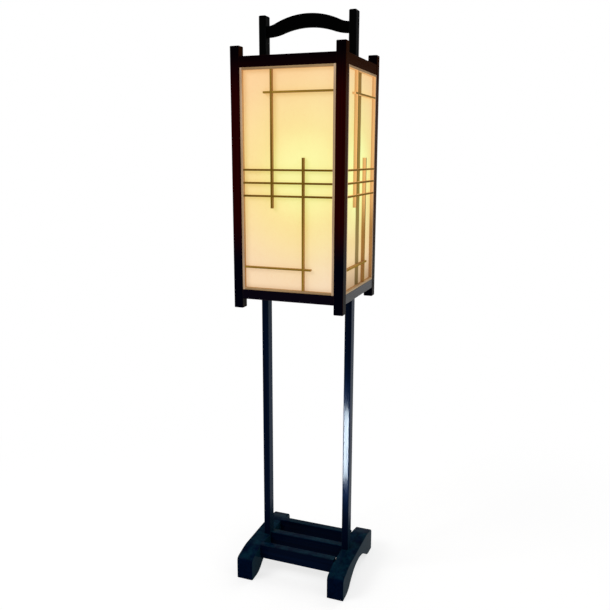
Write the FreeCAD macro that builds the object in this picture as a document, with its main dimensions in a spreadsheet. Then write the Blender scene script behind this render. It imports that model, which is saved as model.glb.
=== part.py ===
import FreeCAD, Part
import math
import os
import Sketcher
from FreeCAD import Placement, Rotation, Vector

# Tower floor lamp: a square paper lantern held high between two tall posts on a low sled stand.
# Millimetres. +X is to the right, the front faces -Y, +Z is up, and the origin is on the floor
# under the middle of the lantern.

doc = FreeCAD.newDocument("TowerFloorLamp")
sheet = doc.addObject("Spreadsheet::Sheet", "Sizes")


class Size:
    # a length that keeps both its sheet expression and its present value
    def __init__(self, text, number):
        self.text = text
        self.number = number

    def join(self, mark, other, number):
        return Size("(%s %s %s)" % (self.text, mark, words(other)), number)

    def __add__(self, other):
        return self.join("+", other, self.number + plain(other))

    def __sub__(self, other):
        return self.join("-", other, self.number - plain(other))

    def __mul__(self, other):
        return self.join("*", other, self.number * plain(other))

    def __truediv__(self, other):
        return self.join("/", other, self.number / plain(other))

    def __neg__(self):
        return Size("(0 - %s)" % self.text, -self.number)


def words(item):
    return item.text if isinstance(item, Size) else repr(item)


def plain(item):
    return item.number if isinstance(item, Size) else item


class Sheet:
    # each entry becomes a cell with an alias, and is read back as a Size
    def __init__(self, entries):
        for row, (name, number) in enumerate(entries.items(), start=1):
            sheet.set("A%d" % row, name)
            sheet.set("B%d" % row, str(number))
            sheet.setAlias("B%d" % row, name)
            setattr(self, name, Size("Sizes.%s" % name, number))


sizes = {
    # stand
    "standHeight": 1465,
    "postWidth": 18.5,
    "postDepth": 29,
    "postRounding": 3,
    "postTenonSide": 12,
    "postTenonLength": 6,
    "footLength": 275,
    "footThickness": 45,
    "footHeight": 71,
    "footToeDrop": 11,
    "footFlatLength": 172,
    "footNoseRadius": 13,
    "footShoulderRadius": 120,
    "footEdge": 2,
    "archSpan": 226,
    "footBridge": 30,
    "archCrownShare": 0.68,
    "stretcherProud": 6,
    "stretcherHeight": 40,
    "stretcherThickness": 20,
    "stretcherPitch": 73,
    "stretcherEdge": 2.5,
    "stretcherTenonLength": 5,
    "stretcherTenonThickness": 10,
    "stretcherTenonHeight": 12,
    "stretcherTenonDrop": 15,
    # arched handle between the posts
    "handleThickness": 18,
    "handleEndHeight": 25.5,
    "handleUpperRise": 24,
    "handleLowerRise": 18,
    "handleCrownDrop": 1,
    "handleUpperCrownShare": 0.79,
    "handleLowerCrownShare": 0.61,
    "handleEdge": 2.5,
    "handleTenonLength": 8,
    "handleTenonThickness": 10,
    "handleTenonHeight": 14,
    # lantern frame
    "lanternWidth": 284,
    "handleReach": 87,
    "cornerPostSide": 24,
    "cornerPostLength": 620,
    "cornerRounding": 2.2,
    "stubLength": 23.5,
    "railSetback": 1,
    "railThickness": 16,
    "topRailHeight": 25.5,
    "bottomRailHeight": 24,
    "railEdge": 1.2,
    "railTenonLength": 7,
    "railTenonThickness": 5,
    "railTenonMargin": 5,
    # lattice panels
    "panelSetback": 1,
    "stickWidth": 5.5,
    "stickDepth": 9,
    "stickEdge": 0.4,
    "uprightWidth": 5,
    "crossWidth": 4.6,
    "uprightOffset": 39.5,
    "crossPitch": 30.6,
    "farCrossOffset": 205.2,
    "latticeDrop": 1.8,
    "uprightTail": 28.6,
    "crossTail": 20,
    "paperThickness": 0.4,
    "paperMargin": 1,
    # lamp carrier
    "bridgeLift": 8,
    "bridgeHeight": 14,
    "bridgeWidth": 30,
    "stemRadius": 5,
    "stemBore": 3.5,
    "stemBelow": 10,
    "stemLength": 186,
    "nutFlats": 14,
    "nutHeight": 4,
    "bushFlangeRadius": 7,
    "bushFlangeHeight": 3,
    "bushSpigotLength": 8,
    "bushBore": 2.5,
    # lampholder with its turn switch
    "capRadius": 18,
    "capWall": 1.5,
    "capRim": 6,
    "bossRadius": 8,
    "bossLength": 10,
    "shellWall": 1,
    "shellHeight": 46,
    "coreHeight": 20,
    "contactRadius": 4,
    "contactHeight": 2,
    "threadOuter": 14.2,
    "threadWall": 0.6,
    "threadHeight": 24,
    "shaftRadius": 2,
    "shaftReach": 4,
    "shaftGuard": 1,
    "knobRadius": 7,
    "knobLength": 12,
    "knobGap": 2,
    "knobSkin": 3,
    "knobEdge": 0.8,
    # bulb
    "bulbReach": 76,
    "globeRadius": 30,
    "neckRadius": 11.7,
    "neckRise": 47,
    "glassWall": 0.8,
    "glassTuck": 18,
    "bulbCapRadius": 13.2,
    "bulbCapRoot": 12.5,
    "bulbCapWall": 0.6,
    "insulatorHeight": 4,
    "insulatorTop": 11,
    "tipRadius": 4.5,
    "tipHeight": 1.5,
    "mountRodRadius": 2.4,
    "mountDiscRadius": 9.2,
    "mountDiscHeight": 1.4,
    "mountFlangeHeight": 5,
    "filamentRadius": 0.9,
    "filamentCircle": 7,
    "filamentLength": 40,
    # screws
    "screwRadius": 2,
    "screwHeadRadius": 3.75,
    "screwHeadHeight": 2.6,
    "screwLength": 25,
    "screwSpread": 6.5,
    "bridgeScrewSpread": 5.5,
    "footScrewRadius": 2.5,
    "footScrewHeadRadius": 4.5,
    "footScrewHeadHeight": 2.4,
    "footScrewLength": 60,
    # fits
    "tenonClearance": 0.1,
    "tenonEndGap": 0.5,
    "lapClearance": 0.05,
    "slideClearance": 0.05,
    "screwClearance": 0.05,
    "headClearance": 0.3,
    "runningClearance": 0.05,
    "overrun": 1,
}
d = Sheet(sizes)
bulbThreadCount = 4
filamentCount = 4
knobFacets = 12
nutFacets = 6
halfCosine = math.cos(math.pi / nutFacets)

# places that several pieces share
half = d.lanternWidth / 2
railOuter = half - d.railSetback
railInner = railOuter - d.railThickness
railMiddle = railOuter - d.railThickness / 2
postOuter = railInner
postMiddle = postOuter - d.postWidth / 2
postInner = postOuter - d.postWidth
opening = half - d.cornerPostSide
footToe = d.footHeight - d.footToeDrop
archHeight = d.footHeight - d.footBridge
stretcherTop = d.footHeight + d.stretcherProud
lanternTop = d.standHeight - d.handleReach
lanternBase = lanternTop - d.cornerPostLength
topRailTop = lanternTop - d.stubLength
topRailBottom = topRailTop - d.topRailHeight
bottomRailBottom = lanternBase + d.stubLength
bottomRailTop = bottomRailBottom + d.bottomRailHeight
panelMiddle = (topRailBottom + bottomRailTop) / 2
panelOuter = half - d.panelSetback
panelInner = panelOuter - d.stickDepth
handleUpper = d.standHeight - d.handleCrownDrop - d.handleUpperRise
handleLower = handleUpper - d.handleEndHeight
handleMiddle = (handleUpper + handleLower) / 2
stretcherTenonTop = stretcherTop - d.stretcherTenonDrop
bridgeBottom = bottomRailTop + d.bridgeLift
bridgeTop = bridgeBottom + d.bridgeHeight
bridgeMiddle = bridgeBottom + d.bridgeHeight / 2
stemBottom = bridgeBottom - d.nutHeight - d.stemBelow
capBottom = stemBottom + d.stemLength
coreBottom = capBottom + d.capWall
coreTop = coreBottom + d.coreHeight
contactTop = coreTop + d.contactHeight
bulbCentre = contactTop + d.bulbReach
shellOuter = d.capRadius - d.capWall - d.slideClearance
shellInner = shellOuter - d.shellWall
coreRadius = shellInner - d.slideClearance
shaftHeight = coreBottom + d.coreHeight / 2
knobStart = d.capRadius + d.knobGap
bulbCapBottom = contactTop + d.tipHeight + d.insulatorHeight
bulbCapTop = bulbCentre - d.neckRise
glassBottom = bulbCapTop - d.glassTuck


def bind(thing, prop, size):
    if isinstance(size, Size):
        thing.setExpression(prop, size.text)


def put(thing, place):
    for axis, size in zip("xyz", place):
        bind(thing, "Placement.Base.%s" % axis, size)


def newBody(label):
    return doc.addObject("PartDesign::Body", label)


# a box with one corner at place; gone takes it away instead
def block(body, name, size, place, gone=False):
    box = body.newObject("PartDesign::SubtractiveBox" if gone else "PartDesign::AdditiveBox", name)
    for prop, length in zip(("Length", "Width", "Height"), size):
        bind(box, prop, length)
    put(box, place)
    return box


turns = {
    "Z": Rotation(),
    "X": Rotation(Vector(0, 1, 0), 90),
    "-X": Rotation(Vector(0, 1, 0), -90),
    "Y": Rotation(Vector(1, 0, 0), -90),
}


# a round bar that starts at place and runs along axis
def rod(body, name, radius, length, place, axis="Z", gone=False):
    bar = body.newObject("PartDesign::SubtractiveCylinder" if gone else "PartDesign::AdditiveCylinder", name)
    bar.Placement = Placement(Vector(), turns[axis])
    bind(bar, "Radius", radius)
    bind(bar, "Height", length)
    put(bar, place)
    return bar


# a bar with equal flats, measured to its corners
def prism(body, name, facets, radius, length, place, axis="Z"):
    bar = body.newObject("PartDesign::AdditivePrism", name)
    bar.Placement = Placement(Vector(), turns[axis])
    bar.Polygon = facets
    bind(bar, "Circumradius", radius)
    bind(bar, "Height", length)
    put(bar, place)
    return bar


# rounds the edges of the newest feature that keep accepts
def ease(body, name, radius, keep):
    base = body.Tip
    doc.recompute()
    edges = ["Edge%d" % number for number, edge in enumerate(base.Shape.Edges, start=1) if keep(edge)]
    rounding = body.newObject("PartDesign::Fillet", name)
    rounding.Base = (base, edges)
    bind(rounding, "Radius", radius)
    return rounding


def spans(edge, axis):
    box = edge.BoundBox
    lengths = {"X": box.XLength, "Y": box.YLength, "Z": box.ZLength}
    own = lengths.pop(axis)
    return own > max(lengths.values()) and max(lengths.values()) < own / 1000


def near(one, two):
    return abs(one - plain(two)) < plain(d.overrun) / 100


# the arc from one point to the other with a signed radius, positive where the path turns left
def arcBetween(start, end, radius):
    chord = end - start
    middle = (start + end) / 2
    left = Vector(-chord.y, chord.x, 0) / chord.Length
    reach = math.sqrt(radius ** 2 - (chord.Length / 2) ** 2)
    centre = middle + left * math.copysign(reach, radius)
    first, last = (start, end) if radius > 0 else (end, start)
    angles = [math.atan2(point.y - centre.y, point.x - centre.x) for point in (first, last)]
    return Part.ArcOfCircle(Part.Circle(centre, Vector(0, 0, 1), abs(radius)), angles[0], angles[1])


# a closed outline through the points, with the radius of each stretch that is an arc in bends
def outline(body, name, plane, points, bends=None):
    bends = bends or {}
    sketch = body.newObject("Sketcher::SketchObject", name)
    support = [item for item in body.Origin.OriginFeatures if item.Role == plane][0]
    sketch.AttachmentSupport = [(support, "")]
    sketch.MapMode = "FlatFace"
    corners = [Vector(plain(point[0]), plain(point[1]), 0) for point in points]
    ends = []
    for number, corner in enumerate(corners):
        following = corners[(number + 1) % len(corners)]
        if number in bends:
            radius = plain(bends[number])
            sketch.addGeometry(arcBetween(corner, following, radius), False)
            ends.append((1, 2) if radius > 0 else (2, 1))
        else:
            sketch.addGeometry(Part.LineSegment(corner, following), False)
            ends.append((1, 2))
    for number in range(len(corners)):
        after = (number + 1) % len(corners)
        sketch.addConstraint(
            Sketcher.Constraint("Coincident", number, ends[number][1], after, ends[after][0]))
    for number, point in enumerate(points):
        for word, axis, line in (("DistanceX", 0, -2), ("DistanceY", 1, -1)):
            where = point[axis]
            if not isinstance(where, Size):
                sketch.addConstraint(Sketcher.Constraint("PointOnObject", number, ends[number][0], line))
                continue
            rule = Sketcher.Constraint(word, -1, 1, number, ends[number][0], plain(where))
            index = sketch.addConstraint(rule)
            sketch.renameConstraint(index, "%s%d" % (word, number))
            bind(sketch, "Constraints.%s%d" % (word, number), where)
        if number in bends:
            signed = bends[number]
            radius = signed if plain(signed) > 0 else -signed
            index = sketch.addConstraint(Sketcher.Constraint("Radius", number, plain(radius)))
            sketch.renameConstraint(index, "bend%d" % number)
            bind(sketch, "Constraints.bend%d" % number, radius)
    return sketch


# a piece turned about the lamp's upright middle line, from (radius, height) points
def turned(label, points, bends=None):
    body = newBody(label)
    sketch = outline(body, label + "_outline", "XZ_Plane", points, bends)
    spin = body.newObject("PartDesign::Revolution", label + "_turned")
    spin.Profile = sketch
    spin.ReferenceAxis = (sketch, ["V_Axis"])
    spin.Angle = 360
    return body


def tube(label, outer, inner, bottom, height):
    body = newBody(label)
    rod(body, label + "_wall", outer, height, (0, 0, bottom))
    rod(body, label + "_bore", inner, height + d.overrun * 2, (0, 0, bottom - d.overrun), gone=True)
    return body


nodes = {}


# the same piece turned about the upright middle line by quarter turns
def turnedCopy(label, things, quarters):
    copy = doc.addObject("Part::Compound", label)
    copy.Links = list(things)
    copy.Placement = Placement(Vector(), Rotation(Vector(0, 0, 1), 90 * quarters))
    nodes[label] = copy
    return copy


def group(label, things):
    nodes[label] = doc.addObject("Part::Compound", label)
    nodes[label].Links = list(things)


sides = ("front", "right", "rear", "left")


# An ogee edge: a crown arc over the given share of the reach to each side, and an end arc that levels out.
def ogee(reach, rise, share):
    total = (reach * reach + rise * rise) / (rise * 2)
    return total * share, total - total * share, reach * share, rise * share


# Feet: a sled foot with a flat top, rounded noses and an ogee arch cut out below.
archHalf = d.archSpan / 2
archCrown, archEnd, archAcross, archDrop = ogee(archHalf, archHeight, d.archCrownShare)
archTurn = archHeight - archDrop
footEnd = d.footLength / 2
footFlat = d.footFlatLength / 2

foot = newBody("right_foot")
profile = outline(foot, "foot_outline", "YZ_Plane", [
    (-footEnd, 0), (-archHalf, 0), (-archAcross, archTurn), (archAcross, archTurn), (archHalf, 0),
    (footEnd, 0), (footEnd, footToe), (footFlat, d.footHeight), (-footFlat, d.footHeight),
    (-footEnd, footToe),
], {1: archEnd, 2: -archCrown, 3: archEnd})
bind(profile, "AttachmentOffset.Base.z", postInner)
plank = foot.newObject("PartDesign::Pad", "foot_plank")
plank.Profile = profile
bind(plank, "Length", d.footThickness)
ease(foot, "foot_shoulders", d.footShoulderRadius,
     lambda edge: spans(edge, "X") and near(edge.CenterOfMass.z, d.footHeight))
ease(foot, "foot_noses", d.footNoseRadius,
     lambda edge: spans(edge, "X") and near(edge.CenterOfMass.z, footToe))
ease(foot, "foot_edges", d.footEdge,
     lambda edge: edge.BoundBox.XLength < plain(d.overrun) / 100 and
     edge.BoundBox.ZMax > plain(archHeight + d.overrun))
mortise = d.postTenonSide + d.tenonClearance * 2
block(foot, "post_mortise", (mortise, mortise, d.postTenonLength + d.tenonEndGap + d.overrun),
      (postMiddle - mortise / 2, -mortise / 2, d.footHeight - d.postTenonLength - d.tenonEndGap), gone=True)
slotThickness = d.stretcherTenonThickness + d.tenonClearance * 2
slotHeight = d.stretcherTenonHeight + d.tenonClearance * 2
for row in (-1, 0, 1):
    block(foot, "stretcher_mortise",
          (d.stretcherTenonLength + d.tenonEndGap + d.overrun, slotThickness, slotHeight),
          (postInner - d.overrun, d.stretcherPitch * row - slotThickness / 2,
           stretcherTenonTop - d.stretcherTenonHeight - d.tenonClearance), gone=True)
rod(foot, "foot_screw_hole", d.footScrewRadius + d.screwClearance, d.footHeight,
    (postMiddle, 0, archHeight - d.overrun), gone=True)
rod(foot, "foot_screw_seat", d.footScrewHeadRadius + d.headClearance, d.footScrewHeadHeight + d.overrun,
    (postMiddle, 0, archHeight - d.overrun), gone=True)
nodes["right_foot"] = foot
turnedCopy("left_foot", [foot], 2)

# Stretchers: three rails on edge from foot to foot, with a stub tenon at each end.
for label, row in (("front_stretcher", -1), ("middle_stretcher", 0), ("rear_stretcher", 1)):
    bar = newBody(label)
    middle = d.stretcherPitch * row
    block(bar, label + "_bar", (postInner * 2, d.stretcherThickness, d.stretcherHeight),
          (-postInner, middle - d.stretcherThickness / 2, stretcherTop - d.stretcherHeight))
    ease(bar, label + "_edges", d.stretcherEdge, lambda edge: spans(edge, "X"))
    for side in (-1, 1):
        start = postInner if side > 0 else -postInner - d.stretcherTenonLength
        block(bar, label + "_tenon",
              (d.stretcherTenonLength, d.stretcherTenonThickness, d.stretcherTenonHeight),
              (start, middle - d.stretcherTenonThickness / 2, stretcherTenonTop - d.stretcherTenonHeight))
    nodes[label] = bar

# Posts: from the foot up behind the side panels and out of the top, flush with the foot's inner face.
railScrewHeights = []
for bottom, height in ((topRailBottom, d.topRailHeight), (bottomRailBottom, d.bottomRailHeight)):
    railScrewHeights += [bottom + height / 2 - d.screwSpread, bottom + height / 2 + d.screwSpread]

post = newBody("right_post")
block(post, "post_bar", (d.postWidth, d.postDepth, d.standHeight - d.footHeight),
      (postInner, -d.postDepth / 2, d.footHeight))
ease(post, "post_edges", d.postRounding, lambda edge: not near(edge.CenterOfMass.z, d.footHeight))
block(post, "post_tenon", (d.postTenonSide, d.postTenonSide, d.postTenonLength),
      (postMiddle - d.postTenonSide / 2, -d.postTenonSide / 2, d.footHeight - d.postTenonLength))
socketThickness = d.handleTenonThickness + d.tenonClearance * 2
socketHeight = d.handleTenonHeight + d.tenonClearance * 2
block(post, "handle_mortise",
      (d.handleTenonLength + d.tenonEndGap + d.overrun, socketThickness, socketHeight),
      (postInner - d.overrun, -socketThickness / 2, handleMiddle - socketHeight / 2), gone=True)
for height in railScrewHeights:
    rod(post, "rail_screw_hole", d.screwRadius + d.screwClearance, d.postWidth + d.overrun * 2,
        (postInner - d.overrun, 0, height), "X", gone=True)
    rod(post, "rail_screw_seat", d.screwHeadRadius + d.headClearance, d.screwHeadHeight + d.overrun,
        (postInner - d.overrun, 0, height), "X", gone=True)
for row in (-1, 1):
    across = d.bridgeScrewSpread * row
    rod(post, "bridge_screw_hole", d.screwRadius + d.screwClearance, d.postWidth + d.overrun * 2,
        (postInner - d.overrun, across, bridgeMiddle), "X", gone=True)
    rod(post, "bridge_screw_seat", d.screwHeadRadius + d.headClearance, d.screwHeadHeight + d.overrun,
        (postOuter - d.screwHeadHeight, across, bridgeMiddle), "X", gone=True)
footScrewTop = archHeight + d.footScrewHeadHeight + d.footScrewLength
rod(post, "foot_screw_pilot", d.footScrewRadius + d.screwClearance,
    footScrewTop - d.footHeight + d.postTenonLength + d.tenonEndGap + d.overrun,
    (postMiddle, 0, d.footHeight - d.postTenonLength - d.overrun), gone=True)
nodes["right_post"] = post
turnedCopy("left_post", [post], 2)

# Handle: an arched bar whose upper and lower edges are ogees.
upperCrown, upperEnd, upperAcross, upperDrop = ogee(postInner, d.handleUpperRise, d.handleUpperCrownShare)
lowerCrown, lowerEnd, lowerAcross, lowerDrop = ogee(postInner, d.handleLowerRise, d.handleLowerCrownShare)
upperTurn = handleUpper + d.handleUpperRise - upperDrop
lowerTurn = handleLower + d.handleLowerRise - lowerDrop
handle = newBody("handle_arch")
profile = outline(handle, "handle_outline", "XZ_Plane", [
    (-postInner, handleLower), (-lowerAcross, lowerTurn), (lowerAcross, lowerTurn), (postInner, handleLower),
    (postInner, handleUpper), (upperAcross, upperTurn), (-upperAcross, upperTurn), (-postInner, handleUpper),
], {0: lowerEnd, 1: -lowerCrown, 2: lowerEnd, 4: -upperEnd, 5: upperCrown, 6: -upperEnd})
bind(profile, "AttachmentOffset.Base.z", -d.handleThickness / 2)
grip = handle.newObject("PartDesign::Pad", "handle_grip")
grip.Profile = profile
bind(grip, "Length", d.handleThickness)
ease(handle, "handle_edges", d.handleEdge,
     lambda edge: edge.BoundBox.YLength < plain(d.overrun) / 100 and
     edge.BoundBox.XLength > plain(d.handleEdge))
for start in (postInner, -postInner - d.handleTenonLength):
    block(handle, "handle_tenon", (d.handleTenonLength, d.handleTenonThickness, d.handleTenonHeight),
          (start, -d.handleTenonThickness / 2, handleMiddle - d.handleTenonHeight / 2))
nodes["handle_arch"] = handle

# Corner posts of the lantern, with mortises for the rails in their two inner faces.
corner = newBody("corner_post")
block(corner, "corner_bar", (d.cornerPostSide, d.cornerPostSide, d.cornerPostLength),
      (-half, -half, lanternBase))
ease(corner, "corner_edges", d.cornerRounding, lambda edge: True)
slotThickness = d.railTenonThickness + d.tenonClearance * 2
slotDepth = d.railTenonLength + d.tenonEndGap
for bottom, height in ((topRailBottom, d.topRailHeight), (bottomRailBottom, d.bottomRailHeight)):
    low = bottom + d.railTenonMargin - d.tenonClearance
    tall = height - d.railTenonMargin * 2 + d.tenonClearance * 2
    block(corner, "front_rail_mortise", (slotDepth + d.overrun, slotThickness, tall),
          (-opening - slotDepth, -railMiddle - slotThickness / 2, low), gone=True)
    block(corner, "side_rail_mortise", (slotThickness, slotDepth + d.overrun, tall),
          (-railMiddle - slotThickness / 2, -opening - slotDepth, low), gone=True)
for quarters, label in enumerate(("front_left", "front_right", "rear_right", "rear_left")):
    turnedCopy(label + "_corner_post", [corner], quarters)


# Rails of the lantern, drawn at the front; those at the sides also take the screws from the tall posts.
def lanternRail(label, bottom, height, drilled):
    rail = newBody(label)
    block(rail, label + "_bar", (opening * 2, d.railThickness, height), (-opening, -railOuter, bottom))
    ease(rail, label + "_edges", d.railEdge, lambda edge: spans(edge, "X"))
    for start in (opening, -opening - d.railTenonLength):
        block(rail, label + "_tenon",
              (d.railTenonLength, d.railTenonThickness, height - d.railTenonMargin * 2),
              (start, -railMiddle - d.railTenonThickness / 2, bottom + d.railTenonMargin))
    if drilled:
        depth = d.screwHeadHeight + d.screwLength - d.postWidth + d.tenonEndGap
        for lift in (height / 2 - d.screwSpread, height / 2 + d.screwSpread):
            rod(rail, label + "_pilot", d.screwRadius + d.screwClearance, depth + d.overrun,
                (0, -railInner - depth, bottom + lift), "Y", gone=True)
    return rail


railKinds = (
    ("top_rail", topRailBottom, d.topRailHeight),
    ("bottom_rail", bottomRailBottom, d.bottomRailHeight),
)
for kind, bottom, height in railKinds:
    undrilled = lanternRail("plain_" + kind, bottom, height, False)
    drilled = lanternRail("drilled_" + kind, bottom, height, True)
    for quarters, side in enumerate(sides):
        turnedCopy("%s_%s" % (side, kind), [drilled if side in ("left", "right") else undrilled], quarters)

# Lattice panel, drawn at the front: a frame of four sticks, half-lapped bars and a sheet of paper behind.
panelHeight = topRailBottom - bottomRailTop
stiles = []
for start in (-opening, opening - d.stickWidth):
    stile = newBody("stile")
    block(stile, "stile_stick", (d.stickWidth, d.stickDepth, panelHeight),
          (start, -panelOuter, bottomRailTop))
    ease(stile, "stile_edges", d.stickEdge, lambda edge: spans(edge, "Z"))
    stiles.append(stile)
caps = []
inside = opening - d.stickWidth
for bottom in (bottomRailTop, topRailBottom - d.stickWidth):
    stick = newBody("cross_stick")
    block(stick, "cross_stick_bar", (inside * 2, d.stickDepth, d.stickWidth), (-inside, -panelOuter, bottom))
    ease(stick, "cross_stick_edges", d.stickEdge, lambda edge: spans(edge, "X"))
    caps.append(stick)

# each upright bar reaches one end of the panel and stops a tail past the far one of the middle crossbars,
# which sit a little below the panel's middle
barEnd = panelHeight / 2 - d.stickWidth
uprightEnd = d.crossPitch + d.uprightTail
middleRows = [d.crossPitch * row - d.latticeDrop for row in (-1, 0, 1)]
crossEnd = d.uprightOffset + d.crossTail
crossRows = [(lift, -inside, inside, (-1, 1)) for lift in middleRows]
crossRows += [(d.farCrossOffset, -crossEnd, inside, (-1,)), (-d.farCrossOffset, -inside, crossEnd, (1,))]
lapDepth = d.stickDepth / 2
uprights = []
for side in (-1, 1):
    upright = newBody("upright_bar")
    low = -uprightEnd - d.latticeDrop if side < 0 else -barEnd
    high = barEnd if side < 0 else uprightEnd - d.latticeDrop
    across = d.uprightOffset * side
    block(upright, "upright_stick", (d.uprightWidth, d.stickDepth, high - low),
          (across - d.uprightWidth / 2, -panelOuter, panelMiddle + low))
    ease(upright, "upright_edges", d.stickEdge, lambda edge: spans(edge, "Z"))
    for lift in middleRows + [d.farCrossOffset * -side]:
        lap = d.crossWidth + d.lapClearance * 2
        block(upright, "upright_lap", (d.uprightWidth + d.overrun * 2, lapDepth + d.overrun, lap),
              (across - d.uprightWidth / 2 - d.overrun, -panelOuter + lapDepth, panelMiddle + lift - lap / 2),
              gone=True)
    uprights.append(upright)
crossbars = []
for lift, start, end, crossedSides in crossRows:
    crossbar = newBody("cross_bar")
    block(crossbar, "cross_bar_stick", (end - start, d.stickDepth, d.crossWidth),
          (start, -panelOuter, panelMiddle + lift - d.crossWidth / 2))
    ease(crossbar, "cross_bar_edges", d.stickEdge, lambda edge: spans(edge, "X"))
    for side in crossedSides:
        lap = d.uprightWidth + d.lapClearance * 2
        block(crossbar, "cross_bar_lap", (lap, lapDepth + d.overrun, d.crossWidth + d.overrun * 2),
              (d.uprightOffset * side - lap / 2, -panelOuter - d.overrun,
               panelMiddle + lift - d.crossWidth / 2 - d.overrun), gone=True)
    crossbars.append(crossbar)
paper = newBody("paper_sheet")
paperHalf = opening - d.paperMargin
block(paper, "paper", (paperHalf * 2, d.paperThickness, panelHeight - d.paperMargin * 2),
      (-paperHalf, -panelInner, bottomRailTop + d.paperMargin))
for quarters, side in enumerate(sides):
    turnedCopy(side + "_panel_stiles", stiles, quarters)
    turnedCopy(side + "_panel_sticks", caps, quarters)
    turnedCopy(side + "_lattice_uprights", uprights, quarters)
    turnedCopy(side + "_lattice_crossbars", crossbars, quarters)
    turnedCopy(side + "_paper", [paper], quarters)

# Lamp bridge between the tall posts, with the hollow stem that carries the lampholder.
bridge = newBody("lamp_bridge")
block(bridge, "bridge_bar", (postInner * 2, d.bridgeWidth, d.bridgeHeight),
      (-postInner, -d.bridgeWidth / 2, bridgeBottom))
rod(bridge, "bridge_stem_hole", d.stemRadius + d.slideClearance, d.bridgeHeight + d.overrun * 2,
    (0, 0, bridgeBottom - d.overrun), gone=True)
bridgeBite = d.screwLength + d.screwHeadHeight - d.postWidth + d.tenonEndGap
for row in (-1, 1):
    for start in (postInner - bridgeBite, -postInner - d.overrun):
        rod(bridge, "bridge_pilot", d.screwRadius + d.screwClearance, bridgeBite + d.overrun,
            (start, d.bridgeScrewSpread * row, bridgeMiddle), "X", gone=True)
nodes["lamp_bridge"] = bridge
nodes["stem_pipe"] = tube("stem_pipe", d.stemRadius, d.stemBore, stemBottom, d.stemLength)
nuts = []
for bottom in (bridgeBottom - d.nutHeight, bridgeTop):
    nut = newBody("stem_nut")
    prism(nut, "nut_block", nutFacets, d.nutFlats / 2 / halfCosine, d.nutHeight, (0, 0, bottom))
    rod(nut, "nut_bore", d.stemRadius + d.slideClearance, d.nutHeight + d.overrun * 2,
        (0, 0, bottom - d.overrun), gone=True)
    nuts.append(nut)
group("stem_nuts", nuts)
bushTop = stemBottom + d.bushSpigotLength
spigot = d.stemBore - d.slideClearance
nodes["cord_bush"] = turned("cord_bush", [
    (d.bushBore, stemBottom - d.bushFlangeHeight), (d.bushFlangeRadius, stemBottom - d.bushFlangeHeight),
    (d.bushFlangeRadius, stemBottom), (spigot, stemBottom), (spigot, bushTop), (d.bushBore, bushTop)])

# Lampholder: a cup on the stem, a shell standing in it, the insulating core, contacts and the turn switch.
bossBore = d.stemRadius + d.slideClearance
bossBottom = capBottom - d.bossLength
rimTop = coreBottom + d.capRim
cupInner = d.capRadius - d.capWall
nodes["holder_cap"] = turned("holder_cap", [
    (bossBore, bossBottom), (d.bossRadius, bossBottom), (d.bossRadius, capBottom), (d.capRadius, capBottom),
    (d.capRadius, rimTop), (cupInner, rimTop), (cupInner, coreBottom), (d.stemBore, coreBottom),
    (d.stemBore, capBottom), (bossBore, capBottom)])
shell = tube("holder_shell", shellOuter, shellInner, coreBottom, d.shellHeight)
rod(shell, "shell_shaft_hole", d.shaftRadius + d.shaftGuard, shellOuter + d.overrun,
    (0, 0, shaftHeight), "Y", gone=True)
nodes["holder_shell"] = shell
core = newBody("holder_core")
rod(core, "core_block", coreRadius, d.coreHeight, (0, 0, coreBottom))
rod(core, "core_shaft_bore", d.shaftRadius + d.runningClearance, coreRadius,
    (0, d.shaftReach - d.tenonEndGap, shaftHeight), "Y", gone=True)
nodes["holder_core"] = core
nodes["screw_shell"] = tube("screw_shell", d.threadOuter, d.threadOuter - d.threadWall,
                            coreTop, d.threadHeight)
contact = newBody("centre_contact")
rod(contact, "contact_disc", d.contactRadius, d.contactHeight, (0, 0, coreTop))
nodes["centre_contact"] = contact
shaft = newBody("switch_shaft")
shaftEnd = knobStart + d.knobLength - d.knobSkin
rod(shaft, "shaft_rod", d.shaftRadius, shaftEnd - d.shaftReach, (0, d.shaftReach, shaftHeight), "Y")
nodes["switch_shaft"] = shaft
knob = newBody("switch_knob")
prism(knob, "knob_grip", knobFacets, d.knobRadius, d.knobLength, (0, knobStart, shaftHeight), "Y")
ease(knob, "knob_edges", d.knobEdge, lambda edge: edge.BoundBox.YLength < plain(d.overrun) / 100)
rod(knob, "knob_bore", d.shaftRadius + d.runningClearance, d.knobLength - d.knobSkin + d.overrun,
    (0, knobStart - d.overrun, shaftHeight), "Y", gone=True)
nodes["switch_knob"] = knob

# Bulb: ridged metal cap, insulator, contact tip, blown glass, and the mount that holds the light rods.
capInner = d.neckRadius + d.slideClearance
capFloor = bulbCapBottom + d.bulbCapWall
ridge = (bulbCapTop - bulbCapBottom) / bulbThreadCount
capPoints = [(0, bulbCapBottom), (d.bulbCapRoot, bulbCapBottom)]
for number in range(bulbThreadCount):
    capPoints += [(d.bulbCapRadius, bulbCapBottom + ridge * (number + 0.5)),
                  (d.bulbCapRoot, bulbCapBottom + ridge * (number + 1))]
capPoints += [(capInner, bulbCapTop), (capInner, capFloor), (0, capFloor)]
nodes["bulb_cap"] = turned("bulb_cap", capPoints)
tipTop = contactTop + d.tipHeight
nodes["bulb_insulator"] = turned("bulb_insulator", [
    (0, tipTop), (d.tipRadius, tipTop), (d.insulatorTop, bulbCapBottom), (0, bulbCapBottom)])
nodes["bulb_tip"] = turned("bulb_tip", [
    (0, contactTop), (d.tipRadius, contactTop), (d.tipRadius, tipTop), (0, tipTop)])
square = d.neckRadius * d.neckRadius + d.neckRise * d.neckRise - d.globeRadius * d.globeRadius
neckBend = square / ((d.globeRadius - d.neckRadius) * 2)
centres = neckBend + d.globeRadius
acrossShare = (d.neckRadius + neckBend) / centres
downShare = d.neckRise / centres
globeInner = d.globeRadius - d.glassWall
neckInner = d.neckRadius - d.glassWall
globeTop = bulbCentre + d.globeRadius
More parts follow.
